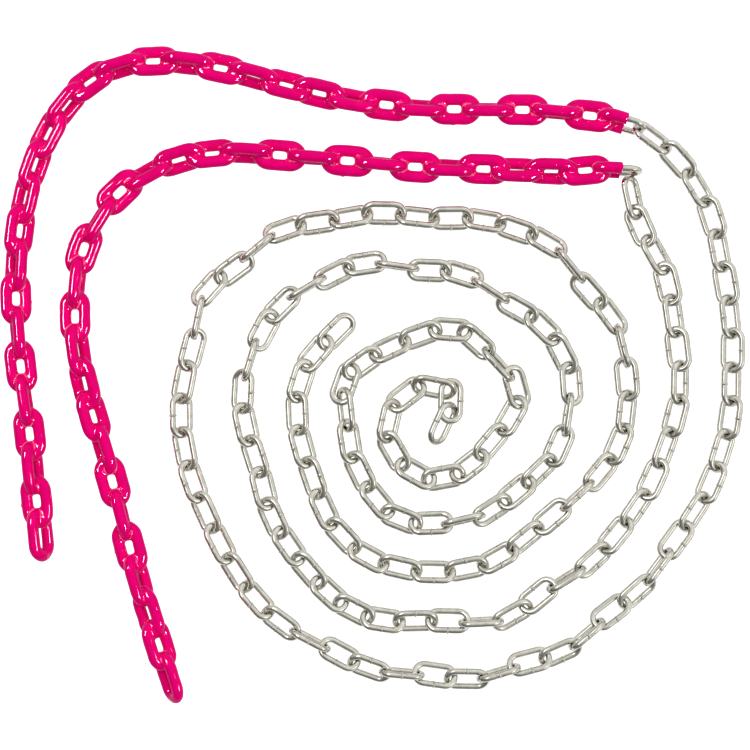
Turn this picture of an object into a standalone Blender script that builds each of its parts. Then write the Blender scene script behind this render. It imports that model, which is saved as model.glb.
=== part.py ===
# Pair of swing chains, half dipped in vinyl, coiled side by side as laid stock.
# The chains lie on a level floor. Each one runs from its dipped hand end, at the lower left, clockwise
# round the heap and in to its bare end near the middle. +Z is up, and the build is in metres.

import bpy
import bmesh
import math
import numpy as np
from mathutils import Matrix

# Driving dimensions
MM = 0.001
WIRE = 4.76 * MM            # plated wire, 3/16 inch
INSIDE_LENGTH = 24.5 * MM   # clear length of a link
INSIDE_WIDTH = 9.3 * MM     # clear width of a link
COAT = 1.82 * MM            # thickness of the dipped vinyl
LINKS = 105                 # links in each chain
DIPPED = 30                 # whole links under vinyl, from the hand end
SLEEVE_PAST_MIDDLE = 2.0 * MM   # how far the vinyl reaches past the middle of the next link
BEDDING = 0.35 * MM         # each bow is let into its neighbour by this at a joint
GAP = 0.3 * MM              # clearance where two nodes meet
PLAY_BARE = 1.2 * MM        # how far a bare link hangs below the axis of a higher neighbour
PLAY_DIPPED = 0.3 * MM      # the same for a stiff dipped link
LIFTING_PASSES = 3
DIPPED_RUN = 5              # links in a dipped node
BARE_RUN = 4                # links in a bare node

# Settling of the laid links
SETTLING_PASSES = 150
LAST_PASSES = 25            # passes at the end in which links are only pushed apart
CLEAR = WIRE + 0.03 * MM    # least distance between the wire axes of two neighbours
LARGEST_PUSH = 0.4 * MM
PULL_BACK = 0.03            # share of the way back to the laid place, and the laid angle, in each pass
SINK = 0.03 * MM            # fall of a bare link in each pass
AXIS_POINTS = 64            # points on the wire axis of a link

# Faceting of the wire
BOW_STEPS = 8               # steps round a whole link, four to each bow
WIRE_SIDES = 5

# The heap is moved by these so that it stands centred, with its lowest point on the floor
CENTRE_X = -1.42 * MM
CENTRE_Y = 0.29 * MM
LOWEST = -0.48 * MM

# Middle of every link in millimetres, hand end first, and its lean in degrees.
# A lean above zero lifts the rod on the outer side of the coil.
OUTER_MIDDLES = [
    (-241, -115.5), (-243.5, -91), (-246.5, -67), (-248.5, -42.5), (-252, -18), (-255, 6), (-257.5, 31),
    (-258.5, 55), (-258.5, 79.5), (-256, 104), (-252, 128), (-245, 151.5), (-235.5, 174), (-222, 194.5),
    (-205, 211.5), (-184, 221.5), (-159.5, 226), (-136, 224.5), (-111, 221), (-88, 215), (-64, 209),
    (-40.5, 203), (-16, 198), (8, 194.5), (32.5, 192), (57, 191.5), (81.5, 191), (106, 191),
    (130.5, 189.5), (155, 186.5), (179, 182.5), (200.5, 171), (219, 155.5), (233, 135), (243.5, 114),
    (248.5, 89.5), (253.5, 66.5), (256.5, 42), (258.5, 18), (257, -6.5), (257, -30.5), (250, -55),
    (243, -77.5), (230.5, -99.5), (217.5, -118.5), (204, -138), (189, -156.5), (170.5, -171), (152.5, -186.5),
    (134, -200.5), (111, -207), (89.5, -214.5), (66, -219.5), (43.5, -216.5), (19, -215), (-4, -211.5),
    (-25.5, -201.5), (-46.5, -191), (-68, -179), (-85.5, -162.5), (-100, -142.5), (-112, -121.5), (-122, -99.5),
    (-131.5, -77), (-137.5, -53), (-140, -29), (-138, -4.5), (-132, 18), (-127.5, 42), (-120, 62.5),
    (-101, 77), (-85.5, 91.5), (-65, 105), (-41.5, 110), (-17.5, 114), (6.5, 117), (30.5, 114),
    (55, 113), (79, 112), (102.5, 104.5), (123.5, 96), (141, 79), (154, 60.5), (170.5, 42.5),
    (178, 21.5), (182, -3), (181.5, -26.5), (176, -50), (163, -70), (146, -86.5), (127.5, -102.5),
    (108.5, -117.5), (89, -132.5), (66, -140), (42, -142.5), (17.5, -139), (-5, -131.5), (-23.5, -116),
    (-36.5, -98), (-45, -74), (-52.5, -52), (-56.5, -27), (-53.5, -4.5), (-42.5, 16.5), (-28, 31),
]
OUTER_LEANS = [
    52, 0, 69, 0, 90, 0, -73, 22, -50, 40, -38, 52, -30, 57, -25,
    70, -18, 65, -19, 59, -29, 38, -49, 15, -67, 0, -77, 0, 90, 0,
    66, -48, 30, -46, 24, -46, 20, -46, 22, -46, 39, -45, 28, -50, 30,
    79, -38, 22, 80, -37, 17, 85, -39, 17, 84, -34, 22, 85, -26, 39,
    -35, 34, -37, 34, -38, 32, -41, 30, 88, -35, 25, 88, -37, 26, -45,
    22, -50, 20, -44, 25, -39, 88, 22, -38, 88, 26, -50, 37, -25, 85,
    24, -48, 32, -37, 31, -32, 32, -31, 32, -32, 31, -30, 31, -31, 35,
]
INNER_MIDDLES = [
    (-148, -218.5), (-155.5, -195), (-163, -171.5), (-170, -148), (-176.5, -124.5), (-182.5, -100.5), (-189, -77),
    (-195.5, -53), (-203, -29.5), (-209, -6), (-214, 18), (-216, 42.5), (-214.5, 67), (-210, 90.5),
    (-198.5, 112.5), (-184, 131.5), (-163.5, 145.5), (-141.5, 155), (-117, 159.5), (-93.5, 160), (-68.5, 158),
    (-44.5, 156.5), (-19.5, 154), (4, 152.5), (29, 149.5), (53, 149.5), (78, 148), (102, 148),
    (127, 146.5), (151.5, 147), (176.5, 146.5), (186, 129), (191, 108.5), (204, 86), (211, 66.5),
    (215.5, 43), (218.5, 19), (220.5, -5.5), (217, -29.5), (209.5, -52.5), (200.5, -75.5), (188.5, -96.5),
    (173.5, -115.5), (157.5, -133.5), (137.5, -147), (118, -159), (99.5, -173.5), (76.5, -178), (52.5, -177.5),
    (29, -177.5), (6, -177), (-16, -169.5), (-32.5, -158), (-48.5, -141), (-61.5, -124), (-74, -103),
    (-80.5, -82), (-86.5, -59.5), (-93.5, -36), (-95.5, -12), (-89.5, 11.5), (-80.5, 32.5), (-67, 50.5),
    (-49, 63), (-30, 72.5), (-7.5, 80.5), (15, 78.5), (39.5, 75.5), (63, 73), (83, 60.5),
    (103, 48), (121.5, 35), (135, 15.5), (142, -6.5), (138.5, -28), (133, -51.5), (118, -70),
    (102.5, -84), (84, -97.5), (64.5, -104.5), (40, -107), (18.5, -104), (2.5, -91), (-11.5, -69.5),
    (-18.5, -48.5), (-21, -24.5), (-21.5, -6), (-9.5, 8), (11, 20), (32.5, 28.5), (55, 33),
    (73, 24.5), (88.5, 8.5), (102.5, -9), (98.5, -29.5), (83.5, -49), (68.5, -65.5), (49, -74),
    (30.5, -71.5), (13.5, -55), (10, -33.5), (22.5, -14.5), (42.5, -8), (55, -19.5), (48.5, -35),
]
INNER_LEANS = [
    -57, 38, -39, 56, 0, 90, 0, -58, 37, -32, 55, 0, 84, 0, -75,
    5, -60, 42, -30, 68, 0, 88, 0, -80, 0, -67, 20, -42, 43, -18,
    70, -46, 15, -42, 15, -46, 15, -56, 39, -49, 15, -49, 39, -38, 83,
    15, -39, 85, 15, -37, 20, -32, 22, -30, 22, -34, 22, -35, 31, -32,
    88, 20, -22, 87, 38, -26, 83, 28, -28, 88, 25, -34, 25, -30, 83,
    30, -49, 15, -39, -80, 24, -27, 32, -30, 28, -56, -21, 23, -41, 30,
    -24, 34, -74, -28, 25, -42, 20, -26, 30, -26, 42, -22, 26, 11, -42,
]

# Links, counted from 1, after which a chain turns a sharp corner
OUTER_CORNERS = []
INNER_CORNERS = [31]

UP = np.array([0.0, 0.0, 1.0])
BOW_RADIUS = (INSIDE_WIDTH + WIRE) / 2
HALF_STRAIGHT = (INSIDE_LENGTH - INSIDE_WIDTH) / 2
FULL_TURN = 2 * math.pi
PENTAGON_FILL = math.sqrt(FULL_TURN / (WIRE_SIDES * math.sin(FULL_TURN / WIRE_SIDES)))


# Laying the links by the lists
def heights_of(leans):
    """Height of each link's middle: on the floor, or held up by a higher neighbour."""
    def resting(k):
        rod = WIRE / 2 + (COAT if k <= DIPPED else 0)
        return rod + BOW_RADIUS * abs(math.sin(math.radians(leans[k])))

    floor = [resting(k) for k in range(len(leans))]
    heights = floor
    for _ in range(LIFTING_PASSES):
        heights = [
            max([floor[k]] + [heights[n] - (PLAY_DIPPED if k < DIPPED else PLAY_BARE)
                              for n in (k - 1, k + 1) if 0 <= n < len(leans)])
            for k in range(len(leans))
        ]
    return heights


def laid(middles_mm, leans, corners):
    """Middle of every link, and its directions along, across and square to both as columns."""
    flat = np.array(middles_mm) * MM
    joints = (flat[:-1] + flat[1:]) / 2
    joints[1:-1] += (flat[1:-2] + flat[2:-1] - flat[:-3] - flat[3:]) / 8
    before = np.vstack([2 * flat[0] - joints[0], joints])
    after = np.vstack([joints, 2 * flat[-1] - joints[-1]])
    for link in corners:
        after[link - 1] = 2 * flat[link - 1] - before[link - 1]
        before[link] = 2 * flat[link] - after[link]
    heading = after - before
    heading /= np.linalg.norm(heading, axis=1)[:, None]
    left = np.stack([-heading[:, 1], heading[:, 0]], axis=1)
    between = (before + after) / 2
    centre = between + left * np.sum((flat - between) * left, axis=1)[:, None]
    middles = np.column_stack([centre, heights_of(leans)])
    nothing = np.zeros(len(flat))
    along = np.column_stack([heading, nothing])
    lean = np.radians(leans)[:, None]
    across = np.column_stack([left, nothing]) * np.cos(lean) + UP * np.sin(lean)
    return middles, np.stack([along, across, np.cross(along, across)], axis=2)


# Settling the links: they are pushed apart until no wire cuts into the next one
def wire_axis():
    """Points round the axis of the wire of one link, in the link's own directions."""
    straight = 2 * HALF_STRAIGHT
    bow = math.pi * BOW_RADIUS
    s = np.arange(AXIS_POINTS) / AXIS_POINTS * 2 * (straight + bow)
    first = s - HALF_STRAIGHT
    second = first - bow - straight
    angle = np.clip(first / BOW_RADIUS, 0, math.pi) + np.clip(second / BOW_RADIUS, 0, math.pi)
    run = (np.clip(s, 0, HALF_STRAIGHT) - np.clip(first - bow, 0, straight)
           + np.clip(second - bow, 0, HALF_STRAIGHT))
    return np.stack([np.sin(angle) * BOW_RADIUS + run, np.cos(angle) * BOW_RADIUS, 0 * s], axis=1)


AXIS = wire_axis()
FRONT_HALF = AXIS[AXIS[:, 0] > 0]
BACK_HALF = AXIS[AXIS[:, 0] < 0]
SPREAD = np.eye(3) * np.mean(np.sum(AXIS ** 2, axis=1)) - AXIS.T @ AXIS / AXIS_POINTS
EASE_OF_TURNING = np.linalg.inv(SPREAD)


def put(points, middles, turns):
    """The points of a link at the place of every given link."""
    return middles[:, None, :] + np.einsum("nij,mj->nmi", turns, points)


def turned(turns, spin):
    """The directions turned about the axis of the spin, by its length in radians."""
    angle = np.linalg.norm(spin, axis=1)[:, None, None]
    x, y, z = (spin / np.maximum(angle[:, 0], 1e-12)).T
    none = 0 * x
    cross = np.array([[none, -z, y], [z, none, -x], [-y, x, none]]).transpose(2, 0, 1)
    return (np.eye(3) + np.sin(angle) * cross + (1 - np.cos(angle)) * cross @ cross) @ turns


def giving(middles, turns, points, push):
    """How far links give way to a push at a point, and the spin that they take from it."""
    twist = np.cross(points - middles, push)
    spin = np.einsum("nij,nj->ni", turns @ EASE_OF_TURNING @ turns.transpose(0, 2, 1), twist)
    return 1 + np.sum(twist * spin, axis=1), spin


def nearest(middles, turns, a, b):
    """The nearest points of the wire axes of neighbours, and their distance."""
    front = put(FRONT_HALF, middles[a], turns[a])
    back = put(BACK_HALF, middles[b], turns[b])
    apart = np.linalg.norm(front[:, :, None] - back[:, None], axis=3).reshape(len(a), -1)
    best = apart.argmin(axis=1)
    row = np.arange(len(a))
    return front[row, best // len(BACK_HALF)], back[row, best % len(BACK_HALF)], apart[row, best]


def settled(middles, turns):
    """Where the links come to lie, each clear of the next one and of the floor."""
    laid_middles, laid_turns = middles.copy(), turns.copy()
    count = len(middles)
    bare = np.arange(count) > DIPPED
    rod = np.where(bare, WIRE / 2, WIRE / 2 + COAT)
    for number in range(SETTLING_PASSES):
        for first in (0, 1):
            a = np.arange(first, count - 1, 2)
            b = a + 1
            point_a, point_b, apart = nearest(middles, turns, a, b)
            push = (point_b - point_a) / apart[:, None]
            give_a, spin_a = giving(middles[a], turns[a], point_a, push)
            give_b, spin_b = giving(middles[b], turns[b], point_b, push)
            size = (np.clip(CLEAR - apart, 0, LARGEST_PUSH) / (give_a + give_b))[:, None]
            middles[a] -= size * push
            middles[b] += size * push
            turns[a] = turned(turns[a], -size * spin_a)
            turns[b] = turned(turns[b], size * spin_b)
        wires = put(AXIS, middles, turns)
        low = wires[np.arange(count), wires[:, :, 2].argmin(axis=1)]
        give, spin = giving(middles, turns, low, UP)
        size = (np.clip(rod - low[:, 2], 0, None) / give)[:, None]
        middles = middles + size * UP
        turns = turned(turns, size * spin)
        if number < SETTLING_PASSES - LAST_PASSES:
            middles[:, :2] += PULL_BACK * (laid_middles - middles)[:, :2]
            middles[bare, 2] -= SINK
            off = turns @ laid_turns.transpose(0, 2, 1)
            spin = np.stack([off[:, 2, 1] - off[:, 1, 2], off[:, 0, 2] - off[:, 2, 0],
                             off[:, 1, 0] - off[:, 0, 1]], axis=1) / 2
            turns = turned(turns, -PULL_BACK * spin)
    return middles, turns


def places_of(middles_mm, leans, corners):
    """Matrix of every link of one chain, and how far its two bows reach from its middle."""
    middles, turns = settled(*laid(middles_mm, leans, corners))
    links = np.arange(len(middles) - 1)
    apart = nearest(middles, turns, links, links + 1)[2]
    bite = np.concatenate([[0], (apart - WIRE) / 2 + BEDDING, [0]])
    places = []
    for k in range(len(middles)):
        matrix = Matrix(turns[k].tolist()).to_4x4()
        matrix.translation = (middles[k] - (CENTRE_X, CENTRE_Y, LOWEST)).tolist()
        places.append((matrix, HALF_STRAIGHT - bite[k], HALF_STRAIGHT - bite[k + 1]))
    return places


# Links and Booleans
def new_link(place, rod):
    """One closed link of round rod, as a faceted mesh object."""
    matrix, back, front = place
    bpy.ops.mesh.primitive_torus_add(
        major_segments=BOW_STEPS, minor_segments=WIRE_SIDES,
        major_radius=BOW_RADIUS / math.cos(math.pi / BOW_STEPS), minor_radius=rod / 2 * PENTAGON_FILL)
    link = bpy.context.object
    link.data.transform(Matrix.Rotation(math.pi / BOW_STEPS, 4, "Z"))
    for vertex in link.data.vertices:
        vertex.co.x += front if vertex.co.x > 0 else -back
    link.data.transform(matrix)
    return link


def combine(body, tool, operation):
    """Joins the tool to the body or cuts it away, and removes the tool."""
    change = body.modifiers.new(operation, "BOOLEAN")
    change.operation = operation
    change.solver = "EXACT"
    change.object = tool
    graph = bpy.context.evaluated_depsgraph_get()
    graph.update()
    result = bpy.data.meshes.new_from_object(body.evaluated_get(graph))
    body.modifiers.remove(change)
    old = body.data
    body.data = result
    bpy.data.meshes.remove(old)
    waste = tool.data
    bpy.data.objects.remove(tool)
    bpy.data.meshes.remove(waste)


def fill_pockets(body):
    """Keeps the outer skin only, so that no tiny sealed pocket is left inside a joint."""
    work = bmesh.new()
    work.from_mesh(body.data)
    unseen = set(work.verts)
    skins = []
    while unseen:
        skin = set()
        edge_of_skin = [unseen.pop()]
        while edge_of_skin:
            vertex = edge_of_skin.pop()
            skin.add(vertex)
            for edge in vertex.link_edges:
                other = edge.other_vert(vertex)
                if other in unseen:
                    unseen.remove(other)
                    edge_of_skin.append(other)
        skins.append(skin)
    outer = max(skins, key=len)
    bmesh.ops.delete(work, geom=[v for v in work.verts if v not in outer], context="VERTS")
    work.to_mesh(body.data)
    work.free()


def joined_run(places, links, rod):
    """One solid of neighbouring links, each let into the next."""
    body = new_link(places[links[0]], rod)
    for k in links[1:]:
        combine(body, new_link(places[k], rod), "UNION")
    return body


def half_sleeve(place, rod):
    """The vinyl over the first half of the part-dipped link, cut off square."""
    matrix = place[0]
    sleeve = new_link(place, rod)
    reach = INSIDE_LENGTH
    bpy.ops.mesh.primitive_cube_add(size=1)
    keep = bpy.context.object
    size = Matrix.Diagonal((reach, 2 * INSIDE_WIDTH + 2 * rod, 2 * rod, 1))
    start = Matrix.Translation((SLEEVE_PAST_MIDDLE - reach / 2, 0, 0))
    keep.data.transform(matrix @ start @ size)
    combine(sleeve, keep, "INTERSECT")
    return sleeve


# Finish of a node
def material(name, colour, metallic, roughness):
    slot = bpy.data.materials.new(name)
    slot.use_nodes = True
    shader = slot.node_tree.nodes["Principled BSDF"]
    shader.inputs["Base Color"].default_value = (*colour, 1)
    shader.inputs["Metallic"].default_value = metallic
    shader.inputs["Roughness"].default_value = roughness
    return slot


def keep_as(body, name, collection, slot):
    """Names a finished body and files it with the parts."""
    fill_pockets(body)
    body.name = name
    body.data.name = name
    body.data.materials.clear()
    body.data.materials.append(slot)
    for face in body.data.polygons:
        face.use_smooth = True
    for home in list(body.users_collection):
        home.objects.unlink(body)
    collection.objects.link(body)


# One chain
def build_chain(name, middles, leans, corners, collection, vinyl, zinc):
    places = places_of(middles, leans, corners)
    dipped_rod = WIRE + 2 * COAT
    last = LINKS - 1

    def cut_clear_of(body, k, rod):
        combine(body, new_link(places[k], rod + 2 * GAP), "DIFFERENCE")

    eye = joined_run(places, [0], dipped_rod)
    keep_as(eye, name + "_hand_eye", collection, vinyl)

    starts = list(range(1, DIPPED, DIPPED_RUN))
    for number, start in enumerate(starts, 1):
        links = list(range(start, min(start + DIPPED_RUN, DIPPED)))
        run = joined_run(places, links, dipped_rod)
        cut_clear_of(run, start - 1, dipped_rod)
        if links[-1] == DIPPED - 1:
            combine(run, half_sleeve(places[DIPPED], dipped_rod), "UNION")
            cut_clear_of(run, DIPPED, WIRE)
        keep_as(run, "%s_dipped_%d" % (name, number), collection, vinyl)

    change = joined_run(places, [DIPPED], WIRE)
    keep_as(change, name + "_half_dipped_link", collection, zinc)

    start = DIPPED + 1
    number = 1
    while start < last:
        stop = start + BARE_RUN
        if last - stop < BARE_RUN:
            stop = last
        run = joined_run(places, list(range(start, stop)), WIRE)
        cut_clear_of(run, start - 1, WIRE)
        keep_as(run, "%s_bare_%02d" % (name, number), collection, zinc)
        start = stop
        number += 1

    end = joined_run(places, [last], WIRE)
    cut_clear_of(end, last - 1, WIRE)
    keep_as(end, name + "_bare_eye", collection, zinc)


# Build
for old_object in list(bpy.data.objects):
    bpy.data.objects.remove(old_object)

heap = bpy.data.collections.new("swing_chain_heap")
bpy.context.scene.collection.children.link(heap)
pink_vinyl = material("pink_vinyl", (0.77, 0.0, 0.18), 0, 0.2)
zinc_plate = material("zinc_plate", (0.66, 0.67, 0.66), 1, 0.28)

build_chain("outer", OUTER_MIDDLES, OUTER_LEANS, OUTER_CORNERS, heap, pink_vinyl, zinc_plate)
build_chain("inner", INNER_MIDDLES, INNER_LEANS, INNER_CORNERS, heap, pink_vinyl, zinc_plate)
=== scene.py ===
# %% [markdown]
# A matched pair of swing chains, laid flat in a double coil as bulk stock. Each chain is 105 welded steel
# links. The first 30 and a half are dipped in hot pink vinyl, where a hand holds the swing. The rest is
# bare, bright zinc plate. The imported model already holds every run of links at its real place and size,
# but with five-sided wire. This lesson keeps those places and gives each run its round wire, welds, vinyl
# and finish.

import math

import bmesh
import bpy
import numpy as np
from mathutils import Matrix, Vector


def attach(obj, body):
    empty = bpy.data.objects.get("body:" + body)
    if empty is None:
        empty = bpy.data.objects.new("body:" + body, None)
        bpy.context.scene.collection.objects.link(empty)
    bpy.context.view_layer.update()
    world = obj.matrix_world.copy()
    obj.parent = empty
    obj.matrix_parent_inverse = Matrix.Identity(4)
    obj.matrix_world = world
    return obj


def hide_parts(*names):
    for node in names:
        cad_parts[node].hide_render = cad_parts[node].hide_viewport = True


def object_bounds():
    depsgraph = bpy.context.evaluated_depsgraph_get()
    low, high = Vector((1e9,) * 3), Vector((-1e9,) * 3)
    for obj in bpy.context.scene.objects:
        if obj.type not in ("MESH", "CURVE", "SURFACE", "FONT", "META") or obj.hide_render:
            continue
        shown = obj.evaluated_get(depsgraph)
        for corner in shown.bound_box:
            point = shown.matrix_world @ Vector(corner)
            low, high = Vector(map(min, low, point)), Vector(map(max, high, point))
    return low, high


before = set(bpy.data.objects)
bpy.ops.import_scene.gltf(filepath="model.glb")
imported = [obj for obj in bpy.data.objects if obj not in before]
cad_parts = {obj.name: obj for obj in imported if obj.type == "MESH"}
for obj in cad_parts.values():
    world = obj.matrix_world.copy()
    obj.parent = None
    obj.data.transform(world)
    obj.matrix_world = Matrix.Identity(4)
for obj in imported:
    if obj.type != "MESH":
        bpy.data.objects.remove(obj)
cad_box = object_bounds()
print("packed model:", len(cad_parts), "nodes, box", cad_box)

# %% [markdown]
# The driving sizes are those of a common swing chain: 3/16 inch wire, an inside length and width that go
# with it, and a coat of vinyl as thick as the dipped rods look. All else about a link is worked out from
# them, so that one number changed here changes the rods and the bows of all links together.

# %% Sizes of the chain
MM = 0.001                  # a millimetre in metres, which is what Blender counts in
WIRE = 4.76 * MM            # plated wire, 3/16 inch
INSIDE_LENGTH = 24.5 * MM   # clear length of a link
INSIDE_WIDTH = 9.3 * MM     # clear width of a link
COAT = 1.82 * MM            # thickness of the dipped vinyl
LINKS = 105                 # links in each chain
DIPPED = 30                 # whole links under vinyl, from the hand end
CENTRE = np.array([-1.42, 0.29, 0]) * MM   # the point of the lists that the model is centred on

BOW_RADIUS = (INSIDE_WIDTH + WIRE) / 2
STRAIGHT = INSIDE_LENGTH - INSIDE_WIDTH
HALF_STRAIGHT = STRAIGHT / 2
BOW = math.pi * BOW_RADIUS  # length of the wire in one bow
WIRE_LENGTH = 2 * (STRAIGHT + BOW)
print("wire in one link: %.1f mm" % (WIRE_LENGTH / MM))

# %% [markdown]
# A chain has no shape of its own, so its lay is a route given link by link. The lists give the middle of
# every link in millimetres, hand end first, and how far the link leans over, in degrees. A lean above zero
# lifts the rod on the outer side of the coil. Neighbours lean opposite ways, because each link hangs across
# the next one. A curve with links strung along it would be quicker to draw, but each link of a real heap
# has a lean of its own. The imported solids were laid by the same lists, which say plainly what would be
# hard to read from the solids.

# %% Lay of the chains
OUTER_MIDDLES = [
    (-241, -115.5), (-243.5, -91), (-246.5, -67), (-248.5, -42.5), (-252, -18), (-255, 6), (-257.5, 31),
    (-258.5, 55), (-258.5, 79.5), (-256, 104), (-252, 128), (-245, 151.5), (-235.5, 174), (-222, 194.5),
    (-205, 211.5), (-184, 221.5), (-159.5, 226), (-136, 224.5), (-111, 221), (-88, 215), (-64, 209),
    (-40.5, 203), (-16, 198), (8, 194.5), (32.5, 192), (57, 191.5), (81.5, 191), (106, 191),
    (130.5, 189.5), (155, 186.5), (179, 182.5), (200.5, 171), (219, 155.5), (233, 135), (243.5, 114),
    (248.5, 89.5), (253.5, 66.5), (256.5, 42), (258.5, 18), (257, -6.5), (257, -30.5), (250, -55),
    (243, -77.5), (230.5, -99.5), (217.5, -118.5), (204, -138), (189, -156.5), (170.5, -171),
    (152.5, -186.5), (134, -200.5), (111, -207), (89.5, -214.5), (66, -219.5), (43.5, -216.5),
    (19, -215), (-4, -211.5), (-25.5, -201.5), (-46.5, -191), (-68, -179), (-85.5, -162.5),
    (-100, -142.5), (-112, -121.5), (-122, -99.5), (-131.5, -77), (-137.5, -53), (-140, -29),
    (-138, -4.5), (-132, 18), (-127.5, 42), (-120, 62.5), (-101, 77), (-85.5, 91.5), (-65, 105),
    (-41.5, 110), (-17.5, 114), (6.5, 117), (30.5, 114), (55, 113), (79, 112), (102.5, 104.5),
    (123.5, 96), (141, 79), (154, 60.5), (170.5, 42.5), (178, 21.5), (182, -3), (181.5, -26.5),
    (176, -50), (163, -70), (146, -86.5), (127.5, -102.5), (108.5, -117.5), (89, -132.5), (66, -140),
    (42, -142.5), (17.5, -139), (-5, -131.5), (-23.5, -116), (-36.5, -98), (-45, -74), (-52.5, -52),
    (-56.5, -27), (-53.5, -4.5), (-42.5, 16.5), (-28, 31),
]
OUTER_LEANS = [
    52, 0, 69, 0, 90, 0, -73, 22, -50, 40, -38, 52, -30, 57, -25, 70, -18, 65, -19, 59, -29, 38, -49,
    15, -67, 0, -77, 0, 90, 0, 66, -48, 30, -46, 24, -46, 20, -46, 22, -46, 39, -45, 28, -50, 30, 79,
    -38, 22, 80, -37, 17, 85, -39, 17, 84, -34, 22, 85, -26, 39, -35, 34, -37, 34, -38, 32, -41, 30, 88,
    -35, 25, 88, -37, 26, -45, 22, -50, 20, -44, 25, -39, 88, 22, -38, 88, 26, -50, 37, -25, 85, 24,
    -48, 32, -37, 31, -32, 32, -31, 32, -32, 31, -30, 31, -31, 35,
]
INNER_MIDDLES = [
    (-148, -218.5), (-155.5, -195), (-163, -171.5), (-170, -148), (-176.5, -124.5), (-182.5, -100.5),
    (-189, -77), (-195.5, -53), (-203, -29.5), (-209, -6), (-214, 18), (-216, 42.5), (-214.5, 67),
    (-210, 90.5), (-198.5, 112.5), (-184, 131.5), (-163.5, 145.5), (-141.5, 155), (-117, 159.5),
    (-93.5, 160), (-68.5, 158), (-44.5, 156.5), (-19.5, 154), (4, 152.5), (29, 149.5), (53, 149.5),
    (78, 148), (102, 148), (127, 146.5), (151.5, 147), (176.5, 146.5), (186, 129), (191, 108.5),
    (204, 86), (211, 66.5), (215.5, 43), (218.5, 19), (220.5, -5.5), (217, -29.5), (209.5, -52.5),
    (200.5, -75.5), (188.5, -96.5), (173.5, -115.5), (157.5, -133.5), (137.5, -147), (118, -159),
    (99.5, -173.5), (76.5, -178), (52.5, -177.5), (29, -177.5), (6, -177), (-16, -169.5), (-32.5, -158),
    (-48.5, -141), (-61.5, -124), (-74, -103), (-80.5, -82), (-86.5, -59.5), (-93.5, -36), (-95.5, -12),
    (-89.5, 11.5), (-80.5, 32.5), (-67, 50.5), (-49, 63), (-30, 72.5), (-7.5, 80.5), (15, 78.5),
    (39.5, 75.5), (63, 73), (83, 60.5), (103, 48), (121.5, 35), (135, 15.5), (142, -6.5), (138.5, -28),
    (133, -51.5), (118, -70), (102.5, -84), (84, -97.5), (64.5, -104.5), (40, -107), (18.5, -104),
    (2.5, -91), (-11.5, -69.5), (-18.5, -48.5), (-21, -24.5), (-21.5, -6), (-9.5, 8), (11, 20),
    (32.5, 28.5), (55, 33), (73, 24.5), (88.5, 8.5), (102.5, -9), (98.5, -29.5), (83.5, -49),
    (68.5, -65.5), (49, -74), (30.5, -71.5), (13.5, -55), (10, -33.5), (22.5, -14.5), (42.5, -8),
    (55, -19.5), (48.5, -35),
]
INNER_LEANS = [
    -57, 38, -39, 56, 0, 90, 0, -58, 37, -32, 55, 0, 84, 0, -75, 5, -60, 42, -30, 68, 0, 88, 0, -80, 0,
    -67, 20, -42, 43, -18, 70, -46, 15, -42, 15, -46, 15, -56, 39, -49, 15, -49, 39, -38, 83, 15, -39,
    85, 15, -37, 20, -32, 22, -30, 22, -34, 22, -35, 31, -32, 88, 20, -22, 87, 38, -26, 83, 28, -28, 88,
    25, -34, 25, -30, 83, 30, -49, 15, -39, -80, 24, -27, 32, -30, 28, -56, -21, 23, -41, 30, -24, 34,
    -74, -28, 25, -42, 20, -26, 30, -26, 42, -22, 26, 11, -42,
]

# Links, counted from 1, after which a chain turns a sharp corner
OUTER_CORNERS = []
INNER_CORNERS = [31]
print("links in the lists:", len(OUTER_MIDDLES), "and", len(INNER_MIDDLES))

# %% [markdown]
# The height of a link is not in the lists, for it follows from the lean: a link lies on the floor on its
# lower rod, or it is held up by a higher neighbour that it hangs in. It could be raised by hand, link by
# link, but a rule is quicker and stays right when a lean is changed.

# %% Heights from the leans
PLAY_BARE = 1.2 * MM        # how far a bare link hangs below the axis of a higher neighbour
PLAY_DIPPED = 0.3 * MM      # the same for a dipped link
LIFTING_PASSES = 3


def heights_of(leans):
    """Height of each link's middle: on the floor, or held up by a higher neighbour."""
    def resting(k):
        rod = WIRE / 2 + (COAT if k <= DIPPED else 0)
        return rod + BOW_RADIUS * abs(math.sin(math.radians(leans[k])))

    floor = [resting(k) for k in range(len(leans))]
    heights = floor
    for _ in range(LIFTING_PASSES):
        heights = [
            max([floor[k]] + [heights[n] - (PLAY_DIPPED if k < DIPPED else PLAY_BARE)
                              for n in (k - 1, k + 1) if 0 <= n < len(leans)])
            for k in range(len(leans))
        ]
    return heights


print("highest middle of a link: %.1f mm" % (max(heights_of(OUTER_LEANS)) / MM))

# %% [markdown]
# A link hangs in the next one at a joint, which lies between the two middles and a little outside the
# bend. The heading of each link runs from joint to joint. The result is a middle and three directions for
# each link, so the same link mesh can be put anywhere.

# %% Middles and directions from the lists
UP = np.array([0.0, 0.0, 1.0])


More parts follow.
